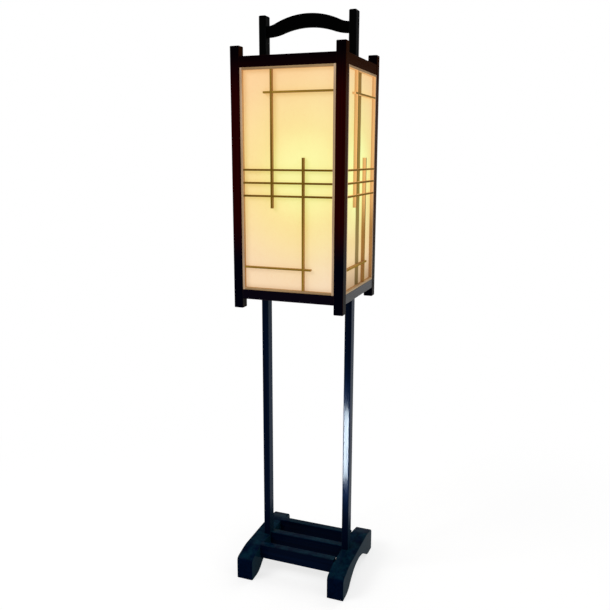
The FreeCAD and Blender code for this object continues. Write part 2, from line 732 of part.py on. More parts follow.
nodes["bulb_glass"] = turned("bulb_glass", [
    (d.neckRadius, glassBottom), (d.neckRadius, bulbCapTop),
    (d.globeRadius * acrossShare, bulbCentre - d.globeRadius * downShare), (0, globeTop),
    (0, globeTop - d.glassWall), (globeInner * acrossShare, bulbCentre - globeInner * downShare),
    (neckInner, bulbCapTop), (neckInner, glassBottom),
], {1: -neckBend, 2: d.globeRadius, 4: -globeInner, 5: neckBend + d.glassWall})
discLow = bulbCentre - d.filamentLength / 2
discHigh = bulbCentre + d.filamentLength / 2
mountFlange = neckInner - d.slideClearance
nodes["bulb_mount"] = turned("bulb_mount", [
    (0, glassBottom), (mountFlange, glassBottom), (mountFlange, glassBottom + d.mountFlangeHeight),
    (d.mountRodRadius, bulbCapTop), (d.mountRodRadius, discLow - d.mountDiscHeight),
    (d.mountDiscRadius, discLow - d.mountDiscHeight), (d.mountDiscRadius, discLow),
    (d.mountRodRadius, discLow),
    (d.mountRodRadius, discHigh), (d.mountDiscRadius, discHigh),
    (d.mountDiscRadius, discHigh + d.mountDiscHeight), (0, discHigh + d.mountDiscHeight)])
filaments = []
for number in range(filamentCount):
    angle = 2 * math.pi * number / filamentCount
    light = newBody("light_rod")
    rod(light, "light_rod_bar", d.filamentRadius, d.filamentLength,
        (d.filamentCircle * math.cos(angle), d.filamentCircle * math.sin(angle), discLow))
    filaments.append(light)
group("bulb_filaments", filaments)


# Screws: a round head and a plain shank.
def screw(label, place, axis, radius, length, headRadius, headHeight):
    body = newBody(label)
    signs = {"Z": (0, 0, 1), "X": (1, 0, 0), "-X": (-1, 0, 0)}[axis]
    seat = [start + headHeight * sign if sign else start for start, sign in zip(place, signs)]
    rod(body, label + "_head", headRadius, headHeight, place, axis)
    rod(body, label + "_shank", radius, length, seat, axis)
    return body


footScrew = screw("foot_screw", (postMiddle, 0, archHeight), "Z", d.footScrewRadius, d.footScrewLength,
                  d.footScrewHeadRadius, d.footScrewHeadHeight)
postScrews = []
for height in railScrewHeights:
    postScrews.append(screw("rail_screw", (postInner, 0, height), "X", d.screwRadius, d.screwLength,
                            d.screwHeadRadius, d.screwHeadHeight))
for row in (-1, 1):
    postScrews.append(screw("bridge_screw", (postOuter, d.bridgeScrewSpread * row, bridgeMiddle), "-X",
                            d.screwRadius, d.screwLength, d.screwHeadRadius, d.screwHeadHeight))
for label, screws in (("foot_screws", [footScrew]), ("post_screws", postScrews)):
    others = doc.addObject("Part::Compound", "left_" + label)
    others.Links = screws
    others.Placement = Placement(Vector(), Rotation(Vector(0, 0, 1), 180))
    group(label, screws + [others])

doc.recompute()
for thing in doc.Objects:
    if {"Invalid", "Error"} & set(thing.State):
        raise RuntimeError("%s failed: %s" % (thing.Label, thing.State))
os.makedirs("parts", exist_ok=True)
for label, thing in nodes.items():
    thing.Label = label
    if thing.Shape.isNull() or not thing.Shape.isValid():
        raise RuntimeError("%s has no valid shape" % label)
for label, thing in nodes.items():
    solids = thing.Shape.Solids
    shape = solids[0] if len(solids) == 1 else thing.Shape
    shape.exportStep("parts/%s.step" % label)
box = Part.makeCompound([thing.Shape for thing in nodes.values()]).BoundBox
print("%d nodes, %.1f x %.1f x %.1f mm" % (len(nodes), box.XLength, box.YLength, box.ZLength))
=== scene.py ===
import bmesh
import bpy
import math
import numpy as np
from mathutils import Matrix, Vector


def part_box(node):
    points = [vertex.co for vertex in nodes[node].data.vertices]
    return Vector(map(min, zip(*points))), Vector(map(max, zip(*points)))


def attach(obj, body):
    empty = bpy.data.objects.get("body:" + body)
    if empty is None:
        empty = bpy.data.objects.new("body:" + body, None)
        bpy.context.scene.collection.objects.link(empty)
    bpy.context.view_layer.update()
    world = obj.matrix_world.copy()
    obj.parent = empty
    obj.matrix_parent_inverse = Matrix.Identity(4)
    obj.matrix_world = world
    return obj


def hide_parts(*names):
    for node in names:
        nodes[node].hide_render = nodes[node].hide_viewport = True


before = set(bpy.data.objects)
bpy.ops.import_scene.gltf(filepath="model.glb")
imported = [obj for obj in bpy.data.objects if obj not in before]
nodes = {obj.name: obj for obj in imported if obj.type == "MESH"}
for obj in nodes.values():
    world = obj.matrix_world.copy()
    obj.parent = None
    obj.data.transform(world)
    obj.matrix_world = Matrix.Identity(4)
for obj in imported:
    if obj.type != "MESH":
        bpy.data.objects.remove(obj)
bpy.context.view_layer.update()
print("frame in:", len(nodes), "nodes")

# the camera stands a little above the middle of the lantern, to the right of its front
photoView = {
    "eye": (0.627, -1.6841, 1.1304),
    "yaw": -20.627,            # degrees, to the left of straight ahead
    "pitch": -12.066,
    "roll": -0.115,
    "focalPixels": 700.866,
    "imagePixels": 610,
    "sensor": 36.0,
}


def placeCamera(view):
    # forward from yaw and pitch, right level with the floor, both turned by roll about forward
    yaw, pitch, roll = (math.radians(view[turn]) for turn in ("yaw", "pitch", "roll"))
    forward = Vector((math.sin(yaw) * math.cos(pitch), math.cos(yaw) * math.cos(pitch), math.sin(pitch)))
    level = Vector((math.cos(yaw), -math.sin(yaw), 0.0))
    down = forward.cross(level)
    across = level * math.cos(roll) + down * math.sin(roll)
    up = level * math.sin(roll) - down * math.cos(roll)
    lens = bpy.data.cameras.new("photoCamera")
    lens.sensor_width = view["sensor"]
    lens.lens = view["focalPixels"] / view["imagePixels"] * view["sensor"]
    camera = bpy.data.objects.new("photoCamera", lens)
    columns = Matrix((across, up, -forward)).transposed().to_4x4()
    camera.matrix_world = Matrix.Translation(view["eye"]) @ columns
    bpy.context.collection.objects.link(camera)
    bpy.context.scene.camera = camera


placeCamera(photoView)
bpy.context.scene.view_settings.view_transform = "Standard"
print("camera placed")


# small helpers for shader trees
def wire(tree, value, socket):
    # a socket is linked, a plain value is set, and a colour of three numbers gets its fourth
    if isinstance(value, bpy.types.NodeSocket):
        tree.links.new(value, socket)
    elif socket.type == "RGBA" and len(value) == 3:
        socket.default_value = (*value, 1.0)
    else:
        socket.default_value = value


def shaderNode(tree, kind, sockets=(), **settings):
    # a new node of that kind, with its settings set and its sockets wired
    made = tree.nodes.new("ShaderNode" + kind)
    for label, value in settings.items():
        setattr(made, label, value)
    for label, value in dict(sockets).items():
        wire(tree, value, made.inputs[label])
    return made


def sums(tree, operation, *values):
    # one maths node on plain values or sockets
    return shaderNode(tree, "Math", enumerate(values), operation=operation).outputs[0]


def vectorSums(tree, operation, *values):
    # one maths node on vectors, which gives a plain value for a length or a dot product
    made = shaderNode(tree, "VectorMath", enumerate(values), operation=operation)
    return made.outputs["Value" if operation in ("LENGTH", "DOT_PRODUCT") else "Vector"]


def between(tree, share, first, second):
    # first at nought, second at one, and a straight line between them
    return shaderNode(tree, "MapRange", {"Value": share, "To Min": first, "To Max": second}).outputs[0]


def ramp(tree, value, low, high, start=0.0, end=1.0):
    # start at low, end at high, and a smooth step between them
    sockets = {"Value": value, "From Min": low, "From Max": high, "To Min": start, "To Max": end}
    return shaderNode(tree, "MapRange", sockets, interpolation_type="SMOOTHSTEP").outputs[0]


def blend(tree, share, first, second, kind="MIX"):
    # colours: first at nought, and at one second, or first times second for the multiply kind
    sockets = {0: share, 6: first, 7: second}
    return shaderNode(tree, "Mix", sockets, data_type="RGBA", blend_type=kind).outputs[2]


def noise(tree, place, scale, detail=2.0, roughness=0.5, distortion=0.0):
    # cloudy noise about a half, with scale as its cells to the metre
    sockets = {"Vector": place, "Scale": scale, "Detail": detail, "Roughness": roughness,
               "Distortion": distortion}
    return shaderNode(tree, "TexNoise", sockets).outputs[0]


def parts(tree, vector):
    # x, y and z of a vector
    return shaderNode(tree, "SeparateXYZ", {0: vector}).outputs


# effects that several finishes share: each takes a tree and its inputs, and gives its outputs by name
grainEffect = {"detail": 5.0, "harsh": 0.62, "slowScale": 0.28, "slowDetail": 1.5, "slowBend": 0.35,
               "lineShare": 0.22, "streakShare": 0.62, "poreStart": 0.58, "poreFull": 0.72,
               "poreDepth": 0.7}


def grainLines(tree, takes):
    # streaks are noise drawn out along the length, growth lines the sine of slower noise
    effect = grainEffect
    drawn = vectorSums(tree, "MULTIPLY", takes["Place"], takes["Stretch"])
    streaks = noise(tree, drawn, 1.0, effect["detail"], effect["harsh"])
    slow = noise(tree, drawn, effect["slowScale"], effect["slowDetail"], distortion=effect["slowBend"])
    lines = sums(tree, "SINE", sums(tree, "MULTIPLY", slow, takes["Rings"]))
    lines = sums(tree, "MULTIPLY_ADD", lines, effect["lineShare"], effect["lineShare"])
    figure = sums(tree, "ADD", lines, sums(tree, "MULTIPLY", streaks, effect["streakShare"]))
    pores = ramp(tree, streaks, effect["poreStart"], effect["poreFull"])
    relief = sums(tree, "MULTIPLY_ADD", pores, -effect["poreDepth"], figure)
    return {"Figure": figure, "Pores": pores, "Height": relief}


rubEffect = {"flat": 0.92, "edge": 0.8, "detail": 5.0, "harsh": 0.7, "patchStart": 0.42,
             "patchFull": 0.64}


def rubbedEdges(tree, takes):
    # an edge is where the normal leans well away from all three axes, broken up by patchy noise
    effect = rubEffect
    lean = parts(tree, vectorSums(tree, "ABSOLUTE", takes["Normal"]))
    widest = sums(tree, "MAXIMUM", lean[0], sums(tree, "MAXIMUM", lean[1], lean[2]))
    edge = ramp(tree, widest, effect["flat"], effect["edge"])
    patch = noise(tree, takes["Place"], takes["Patch"], effect["detail"], effect["harsh"])
    patch = ramp(tree, patch, effect["patchStart"], effect["patchFull"])
    return {"Rub": sums(tree, "MULTIPLY", edge, sums(tree, "MULTIPLY", patch, takes["Amount"]))}


dustAndTopLightEffect = {"tilted": 0.45, "level": 0.98, "scale": 34.0, "detail": 6.0, "harsh": 0.75, "thin": 0.35,
              "thick": 0.75}


def dustAndTopLightClouds(tree, takes):
    # dust lies where the normal points up, thicker and thinner in soft clouds; the stand's teal dust also
    # stands for a painted top light
    effect = dustAndTopLightEffect
    up = ramp(tree, parts(tree, takes["Normal"])[2], effect["tilted"], effect["level"])
    cloud = noise(tree, takes["Place"], effect["scale"], effect["detail"], effect["harsh"])
    cloud = ramp(tree, cloud, effect["thin"], effect["thick"])
    return {"DustAndTopLight": sums(tree, "MULTIPLY", up, sums(tree, "MULTIPLY", cloud, takes["Amount"]))}


fibreEffect = {"scaleWidth": ((55.0, 0.02), (120.0, 0.03), (210.0, 0.035)), "smooth": 0.4, "curl": 0.9,
               "breakScale": 0.6, "breakStart": 0.46, "breakFull": 0.6, "cloudScale": 26.0,
               "cloudDetail": 4.0, "cloudHarsh": 0.6, "cloudRelief": 0.5}


def paperThreads(tree, takes):
    # fibres are thin curled lines where a wandering noise crosses its middle value, some broken off
    effect = fibreEffect
    threads = []
    for scale, width in effect["scaleWidth"]:
        wander = noise(tree, takes["Place"], scale, 1.0, effect["smooth"], effect["curl"])
        off = sums(tree, "ABSOLUTE", sums(tree, "SUBTRACT", wander, 0.5))
        broken = noise(tree, takes["Place"], scale * effect["breakScale"])
        broken = ramp(tree, broken, effect["breakStart"], effect["breakFull"])
        threads.append(sums(tree, "MULTIPLY", ramp(tree, off, width, 0.0), broken))
    fibre = sums(tree, "MAXIMUM", threads[0], sums(tree, "MAXIMUM", threads[1], threads[2]))
    cloud = noise(tree, takes["Place"], effect["cloudScale"], effect["cloudDetail"], effect["cloudHarsh"])
    relief = sums(tree, "MULTIPLY_ADD", cloud, effect["cloudRelief"], fibre)
    return {"Fibre": fibre, "Cloud": cloud, "Height": relief}


def wallPlaces(tree, takes):
    # a wall is frontal where y is wider than x, along it is to the right as seen from outside,
    # depth is out from the middle, and outward is the normal's share along that depth
    own = parts(tree, takes["Place"])
    far = parts(tree, vectorSums(tree, "ABSOLUTE", takes["Place"]))
    lean = parts(tree, vectorSums(tree, "ABSOLUTE", takes["Normal"]))
    frontal = sums(tree, "GREATER_THAN", far[1], far[0])
    side = sums(tree, "MULTIPLY", own[1], sums(tree, "SIGN", own[0]))
    front = sums(tree, "MULTIPLY", own[0], sums(tree, "MULTIPLY", sums(tree, "SIGN", own[1]), -1.0))
    return {"Frontal": frontal, "Along": between(tree, frontal, side, front),
            "Depth": sums(tree, "MAXIMUM", far[0], far[1]), "Height": own[2],
            "Outward": between(tree, frontal, lean[0], lean[1]), "Sideways": lean[0]}


def endFades(tree, takes):
    # lower grows from Low Full down to Low, and upper from Top Full up to Top
    return {"Lower": ramp(tree, takes["Height"], takes["Low Full"], takes["Low"]),
            "Upper": ramp(tree, takes["Height"], takes["Top Full"], takes["Top"])}


gluedShare = 0.5  # of the glow that is left on a bar right by the paper


def lampLights(tree, takes):
    # bulbShade is a painted shade, strongest level with the bulb, inner is the share of a face that turns
    # from the outside, lit is inner, carrying the paper's painted glow, that fades low down, towards the
    # paper and on the front and rear walls, and sideLight is a painted light for the lower part of the
    # side walls
    height = takes["Height"]
    away = sums(tree, "ABSOLUTE", sums(tree, "SUBTRACT", height, takes["Bulb Height"]))
    bulbShade = ramp(tree, away, takes["Far"], takes["Near"])
    inner = sums(tree, "SUBTRACT", 1.0, takes["Outward"])
    lit = sums(tree, "MULTIPLY", inner, ramp(tree, height, takes["Glow Low"], takes["Glow High"]))
    lit = sums(tree, "MULTIPLY", lit, between(tree, takes["Frontal"], 1.0, takes["Front Share"]))
    depth = ramp(tree, takes["Depth"], takes["Glue Line"], takes["Face"], gluedShare, 1.0)
    lit = sums(tree, "MULTIPLY", lit, depth)
    side = sums(tree, "SUBTRACT", 1.0, takes["Frontal"])
    sideLight = sums(tree, "MULTIPLY", side, ramp(tree, height, takes["Gain Top"], takes["Gain Full"]))
    return {"BulbShade": bulbShade, "Inner": inner, "Lit": lit, "Gain": sideLight}


def effectGroup(name, build, **takes):
    # a group with its inputs, what build makes of them, and an output for each of its results
    tree = bpy.data.node_groups.new(name, "ShaderNodeTree")
    for label, value in takes.items():
        kind = "NodeSocketFloat" if isinstance(value, float) else "NodeSocketVector"
        socket = tree.interface.new_socket(name=label.replace("_", " "), in_out="INPUT", socket_type=kind)
        socket.default_value = value
    made = build(tree, tree.nodes.new("NodeGroupInput").outputs)
    for label in made:
        tree.interface.new_socket(name=label, in_out="OUTPUT", socket_type="NodeSocketFloat")
    gives = tree.nodes.new("NodeGroupOutput").inputs
    for label, value in made.items():
        tree.links.new(value, gives[label])
    return tree


def placeGroup(tree, group, **sockets):
    # a group placed in a material's tree with values of its own, and its outputs
    made = tree.nodes.new("ShaderNodeGroup")
    made.node_tree = group
    for label, value in sockets.items():
        wire(tree, value, made.inputs[label.replace("_", " ")])
    return made.outputs


middle, upright = (0.0, 0.0, 0.0), (0.0, 0.0, 1.0)
woodGrain = effectGroup("woodGrain", grainLines, Place=middle, Stretch=(1.0, 1.0, 1.0), Rings=30.0)
edgeRub = effectGroup("edgeRub", rubbedEdges, Place=middle, Normal=upright, Amount=0.5, Patch=20.0)
restingDustAndTopLight = effectGroup("restingDustAndTopLight", dustAndTopLightClouds, Place=middle, Normal=upright, Amount=0.3)
paperFibre = effectGroup("paperFibre", paperThreads, Place=middle)
wallPlace = effectGroup("wallPlace", wallPlaces, Place=middle, Normal=upright)
endFade = effectGroup("endFade", endFades, Height=0.0, Low=0.0, Low_Full=0.1, Top_Full=0.9, Top=1.0)
lampLight = effectGroup("lampLight", lampLights, Height=0.0, Depth=0.0, Outward=0.0, Frontal=0.0,
                        Bulb_Height=1.0, Near=0.1, Far=0.2, Glow_Low=0.9, Glow_High=1.0, Front_Share=0.0,
                        Glue_Line=0.1, Face=0.2, Gain_Top=1.0, Gain_Full=0.9)
print("effect groups built")


def newFinish(name):
    # a material's tree, its shader, and the place and normal that its patterns read
    finish = bpy.data.materials.new(name)
    finish.use_nodes = True
    tree = finish.node_tree
    coords = tree.nodes.new("ShaderNodeTexCoord").outputs
    return finish, tree, tree.nodes["Principled BSDF"], coords["Object"], coords["Normal"]


def setShader(tree, shader, values):
    # each of the shader's named sockets is linked or set
    for label, value in values.items():
        wire(tree, value, shader.inputs[label])


def bump(tree, height, strength, distance):
    # the normal, tilted by the height's slope
    sockets = {"Height": height, "Strength": strength, "Distance": distance}
    return shaderNode(tree, "Bump", sockets).outputs[0]


def drawnOut(along, fine, long):
    # noise cells per metre: fine across the wood, long along it
    return tuple(long if axis == along else fine for axis in "xyz")


# woods: the stand and lantern are lacquered, with other tones towards the ends of their height, a painted
# shade at the top, and painted reflection and shade on their side faces; the lattice is bare, with
# painted glow and shade
standLacquer = {
    "deep": (0.0002, 0.0018, 0.009), "bloom": (0.0005, 0.005, 0.022), "rubbed": (0.012, 0.016, 0.022),
    "ends": (0.11, 0.20, 0.7, 1.36),        # heights: low tone full and gone, top tone starting and full
    # the top tone is a painted shade that darkens the posts' tops and the handle
    "lowTone": (0.0003, 0.0025, 0.012), "topShade": (0.0004, 0.0004, 0.0004),
    # painted side tones: a bluer painted reflection of the bright room on the side faces, fading towards
    # the top
    "paintedSideTone": (0.006, 0.021, 0.052), "sideLowTone": (0.002, 0.012, 0.024), "sideTop": 1.0,
    # the dust is teal, and on the upward faces it also stands for a painted top light
    "topRough": 0.65, "lowRough": 0.6, "dustAndTopLight": (0.04, 0.28, 0.34), "dustAndTopLightAmount": 0.04, "rub": 0.3,
    "roughness": 0.115, "ripple": 0.07, "specular": 0.018, "tint": (0.78, 0.92, 1.0),
    "fine": 160.0, "long": 4.0, "rings": 30.0, "relief": 0.00012,
}
# stretchers, feet and handle take darker painted side tones, a painted shade on their side faces
stretcherLacquer = dict(standLacquer, ends=(-0.2, -0.1, 0.7, 1.36), specular=0.01, dustAndTopLightAmount=0.08,
                        paintedSideTone=(0.0015, 0.003, 0.009))
footLacquer = dict(stretcherLacquer, specular=0.003, paintedSideTone=(0.002, 0.022, 0.038))
handleLacquer = dict(standLacquer, specular=0.006, paintedSideTone=(0.0008, 0.0008, 0.0008))
lanternLacquer = {
    "deep": (0.012, 0.0004, 0.0005), "bloom": (0.027, 0.0011, 0.001), "rubbed": (0.05, 0.012, 0.008),
    "ends": (0.86, 1.0, 1.25, 1.37),
    # the lantern's top tone is a painted shade
    "lowTone": (0.0006, 0.0008, 0.0045), "topShade": (0.0016, 0.0006, 0.0014),
    # painted side tones: the paper's glow as a painted reflection on the upper side faces, grey low down
    "paintedSideTone": (0.046, 0.013, 0.002), "sideLowTone": (0.032, 0.029, 0.026), "sideTop": 0.45,
    "topRough": 0.55, "lowRough": 0.0, "dustAndTopLight": (0.30, 0.27, 0.24), "dustAndTopLightAmount": 0.02, "rub": 0.4,
    "roughness": 0.2, "ripple": 0.1, "specular": 0.003, "tint": (1.0, 0.4, 0.35),
    "fine": 380.0, "long": 7.0, "rings": 34.0, "relief": 0.00014,
}
# the bottom rails' side faces take a paler grey painted reflection
lowLacquer = dict(lanternLacquer, specular=0.03, sideLowTone=(0.07, 0.072, 0.075))
stickWood = {
    "deep": (0.20, 0.112, 0.05), "bloom": (0.58, 0.372, 0.18), "rubbed": (0.58, 0.42, 0.25),
    # inner and glow paint the paper's glow on the inner faces, as colour and as emission;
    # paintedSideLight is painted light low on the side walls, and bulbShadeTone a painted shade level
    # with the bulb
    "inner": (0.54, 0.30, 0.11), "innerShare": 0.85,
    "paintedSideLight": (1.6, 1.8, 2.1), "gainTop": 1.25, "gainFull": 1.1,
    "bulbShadeTone": (0.95, 0.92, 0.85), "shadeHeight": 1.075, "shadeNear": 0.05, "shadeFar": 0.2,
    "glow": (0.44, 0.265, 0.115), "glowDim": 0.76, "glowBright": 1.2,
    "glowLow": 0.93, "glowHigh": 1.05, "glowFront": 0.35, "glueLine": 0.130, "face": 0.140,
    "dustAndTopLight": (0.55, 0.5, 0.43), "dustAndTopLightAmount": 0.1, "rub": 0.4,
    "roughness": 0.55, "ripple": 0.16, "specular": 0.08, "tint": (1.0, 0.9, 0.8),
    "fine": 1000.0, "long": 14.0, "rings": 26.0, "relief": 0.0002,
}
stileWood = dict(stickWood, deep=(0.29, 0.18, 0.105), bloom=(0.78, 0.545, 0.35),
                 paintedSideLight=(1.0, 1.0, 1.0))
latticeWood = dict(stickWood, deep=(0.16, 0.082, 0.006), bloom=(0.50, 0.29, 0.045),
                   rubbed=(0.42, 0.26, 0.08), bulbShadeTone=(0.55, 0.5, 0.3), paintedSideLight=(1.35, 1.4, 1.2),
                   specular=0.03, glow=(0.54, 0.32, 0.13), glowFront=0.0)
anyWood = {"poreShare": 0.45, "wornRough": 0.3, "bump": 0.35,
           "leaning": 0.6, "sideways": 0.95, "sideShare": 0.85}


def lacquerCoat(tree, look, wall, colour, rough):
    # the colour goes over to the end tones up and down the height, duller there, the top tone being a
    # painted shade, and side faces have painted tones of reflection and shade of their own that fade
    # towards the top
    low, lowFull, topFull, top = look["ends"]
    fade = placeGroup(tree, endFade, Height=wall["Height"], Low=low, Low_Full=lowFull,
                      Top_Full=topFull, Top=top)
    colour = blend(tree, fade["Lower"], colour, look["lowTone"])
    colour = blend(tree, fade["Upper"], colour, look["topShade"])
    turned = ramp(tree, wall["Sideways"], anyWood["leaning"], anyWood["sideways"],
                  0.0, anyWood["sideShare"])
    side = sums(tree, "MULTIPLY_ADD", fade["Upper"], -look["sideTop"], 1.0)
    side = sums(tree, "MULTIPLY", side, turned)
    paintedSideTone = blend(tree, fade["Lower"], look["paintedSideTone"], look["sideLowTone"])
    colour = blend(tree, side, colour, paintedSideTone)
    rough = sums(tree, "MULTIPLY_ADD", fade["Upper"], look["topRough"], rough)
    return colour, sums(tree, "MULTIPLY_ADD", fade["Lower"], look["lowRough"], rough)


def bareWood(tree, shader, look, wall, figure, colour):
    # a painted shade makes it darker level with the bulb and a painted light paler low on the side walls,
    # and the paper's glow is painted on the inner faces, redder as colour and as emission, stronger and
    # weaker along the grain
    light = placeGroup(tree, lampLight, Height=wall["Height"], Depth=wall["Depth"],
                       Outward=wall["Outward"], Frontal=wall["Frontal"], Bulb_Height=look["shadeHeight"],
                       Near=look["shadeNear"], Far=look["shadeFar"], Glow_Low=look["glowLow"],
                       Glow_High=look["glowHigh"], Front_Share=look["glowFront"],
                       Glue_Line=look["glueLine"], Face=look["face"],
                       Gain_Top=look["gainTop"], Gain_Full=look["gainFull"])
    colour = blend(tree, light["BulbShade"], colour, look["bulbShadeTone"], "MULTIPLY")
    colour = blend(tree, light["Gain"], colour, look["paintedSideLight"], "MULTIPLY")
    inner = sums(tree, "MULTIPLY", light["Inner"], look["innerShare"])
    colour = blend(tree, inner, colour, look["inner"])
    dim = tuple(part * look["glowDim"] for part in look["glow"])
    bright = tuple(part * look["glowBright"] for part in look["glow"])
    glow = blend(tree, figure["Figure"], dim, bright)
    glow = blend(tree, light["Lit"], (0.0, 0.0, 0.0), glow)
    setShader(tree, shader, {"Emission Color": glow, "Emission Strength": 1.0})
    return colour


def woodFinish(name, look, along):
    # the figure blends the deep and bloom tones, the lacquer with its painted shade and side tones or the
    # lamp's painted light changes them, and rubbed edges and dust lie over them, the stand's teal dust
    # also a painted top light
    finish, tree, shader, place, normal = newFinish(name)
    figure = placeGroup(tree, woodGrain, Place=place, Rings=look["rings"],
                        Stretch=drawnOut(along, look["fine"], look["long"]))
    rub = placeGroup(tree, edgeRub, Place=place, Normal=normal, Amount=look["rub"])["Rub"]
    dustAndTopLight = placeGroup(tree, restingDustAndTopLight, Place=place, Normal=normal, Amount=look["dustAndTopLightAmount"])["DustAndTopLight"]
    wall = placeGroup(tree, wallPlace, Place=place, Normal=normal)
    colour = blend(tree, figure["Figure"], look["deep"], look["bloom"])
    pores = blend(tree, anyWood["poreShare"], colour, look["deep"])
    colour = blend(tree, figure["Pores"], colour, pores)
    rough = sums(tree, "MULTIPLY_ADD", figure["Figure"], look["ripple"], look["roughness"])
    if "ends" in look:
        colour, rough = lacquerCoat(tree, look, wall, colour, rough)
    else:
        colour = bareWood(tree, shader, look, wall, figure, colour)
    colour = blend(tree, dustAndTopLight, blend(tree, rub, colour, look["rubbed"]), look["dustAndTopLight"])
    worn = sums(tree, "MULTIPLY", sums(tree, "ADD", rub, dustAndTopLight), anyWood["wornRough"])
    setShader(tree, shader, {"Base Color": colour, "Roughness": sums(tree, "ADD", rough, worn),
                             "Specular IOR Level": look["specular"], "Specular Tint": look["tint"],
                             "Normal": bump(tree, figure["Height"], anyWood["bump"], look["relief"])})
    return finish


# lit paper: peach at its edges, yellow in the middle, near white before the bulb, creamier low down,
# with the shadow of the tall posts behind the side papers painted on them as a soft brown band
litPaper = {
    "base": (0.50, 0.42, 0.29), "thin": (0.46, 0.38, 0.26),
    "core": (0.64, 0.66, 0.20), "coreNear": 0.088, "coreFar": 0.155,
    "middle": (0.63, 0.50, 0.125), "middleNear": 0.11, "middleFar": 0.29,
    "farTop": (0.62, 0.36, 0.14), "farLow": (0.60, 0.425, 0.27), "paperLow": 0.80, "paperTop": 1.33,
    "glowAlong": 0.04, "glowSide": 0.0, "glowHeight": 1.08, "glowDepth": 0.087,
    "right": (1.0, 1.06, 1.15), "rightStart": 0.02, "rightEnd": 0.09,
    "near": (1.02, 1.22, 1.5), "nearStart": 0.117, "nearEnd": -0.05, "nearLeast": 0.45,
    "nearLow": 0.915, "nearTop": 0.97,
    "rim": 0.117, "rimFade": 0.012, "rimShade": (1.0, 0.97, 0.95),
    # the posts' painted shadow: half width, soft edge, tones for the glow and for the paper's colour, and
    # the height where it turns
    "bandHalf": 0.0155, "bandSoft": 0.004, "postShadowTop": (0.14, 0.10, 0.02), "bandLow": (0.16, 0.14, 0.03),
    "postShadowBaseTop": (0.6, 0.45, 0.2), "bandBaseLow": (0.6, 0.52, 0.36), "bandLowHeight": 0.90,
    "footTone": (0.58, 0.54, 0.48), "footSide": 0.89, "footFront": 0.825, "footShare": 0.5,
    "fibreShade": (0.95, 0.89, 0.80), "fibreShare": 0.6,
    "roughness": 0.82, "specular": 0.05, "bump": 0.3, "relief": 0.0001,
}


def paperFinish(look):
    # glow falls with distance from the bulb's place in two soft steps, a wide one and a close one,
    # and each paper is brighter along one half
    finish, tree, shader, place, normal = newFinish("litPaper")
    fibre = placeGroup(tree, paperFibre, Place=place)
    wall = placeGroup(tree, wallPlace, Place=place, Normal=normal)
    frontal, along, height = wall["Frontal"], wall["Along"], wall["Height"]
    side = sums(tree, "SUBTRACT", 1.0, frontal)
    across = sums(tree, "ABSOLUTE", along)
    centre = between(tree, frontal, look["glowSide"], look["glowAlong"])
    beside = sums(tree, "SUBTRACT", along, centre)
    above = sums(tree, "SUBTRACT", height, look["glowHeight"])
    off = shaderNode(tree, "CombineXYZ", {0: beside, 1: look["glowDepth"], 2: above}).outputs[0]
    reach = vectorSums(tree, "LENGTH", off)
    right = sums(tree, "MULTIPLY", frontal, ramp(tree, along, look["rightStart"], look["rightEnd"]))
    near = ramp(tree, along, look["nearStart"], look["nearEnd"], look["nearLeast"], 1.0)
    near = sums(tree, "MULTIPLY", near, ramp(tree, height, look["nearLow"], look["nearTop"]))
    rim = ramp(tree, across, look["rim"] - look["rimFade"], look["rim"])
    # painted shadow of the tall post behind each side paper
    postShadow = ramp(tree, across, look["bandHalf"] + look["bandSoft"], look["bandHalf"] - look["bandSoft"])
    postShadow = sums(tree, "MULTIPLY", side, postShadow)
    low = ramp(tree, height, look["glowHeight"], look["bandLowHeight"])
    # painted shade: the glow and the paper's colour darken towards the foot of each sheet
    footStart = between(tree, frontal, look["footSide"], look["footFront"])
    foot = ramp(tree, height, footStart, look["paperLow"])
    foot = sums(tree, "MULTIPLY", foot, between(tree, frontal, 1.0, look["footShare"]))
    upward = ramp(tree, height, look["paperLow"], look["paperTop"])
    glow = blend(tree, upward, look["farLow"], look["farTop"])
    glow = blend(tree, ramp(tree, reach, look["middleFar"], look["middleNear"]), glow, look["middle"])
    glow = blend(tree, right, glow, look["right"], "MULTIPLY")
    glow = blend(tree, ramp(tree, reach, look["coreFar"], look["coreNear"]), glow, look["core"])
    glow = blend(tree, rim, glow, look["rimShade"], "MULTIPLY")
    glow = blend(tree, sums(tree, "MULTIPLY", side, near), glow, look["near"], "MULTIPLY")
    glow = blend(tree, postShadow, glow, blend(tree, low, look["postShadowTop"], look["bandLow"]), "MULTIPLY")
    glow = blend(tree, foot, glow, look["footTone"], "MULTIPLY")
    shade = sums(tree, "MULTIPLY", fibre["Fibre"], look["fibreShare"])
    glow = blend(tree, shade, glow, look["fibreShade"], "MULTIPLY")
    base = blend(tree, fibre["Cloud"], look["thin"], look["base"])
    # the painted shadow darkens the paper's own colour as well
    postShadowBase = blend(tree, low, look["postShadowBaseTop"], look["bandBaseLow"])
    base = blend(tree, postShadow, base, postShadowBase, "MULTIPLY")
    base = blend(tree, foot, base, look["footTone"], "MULTIPLY")
    setShader(tree, shader, {"Base Color": base, "Roughness": look["roughness"],
                             "Specular IOR Level": look["specular"],
                             "Emission Color": glow, "Emission Strength": 1.0,
                             "Normal": bump(tree, fibre["Height"], look["bump"], look["relief"])})
    return finish


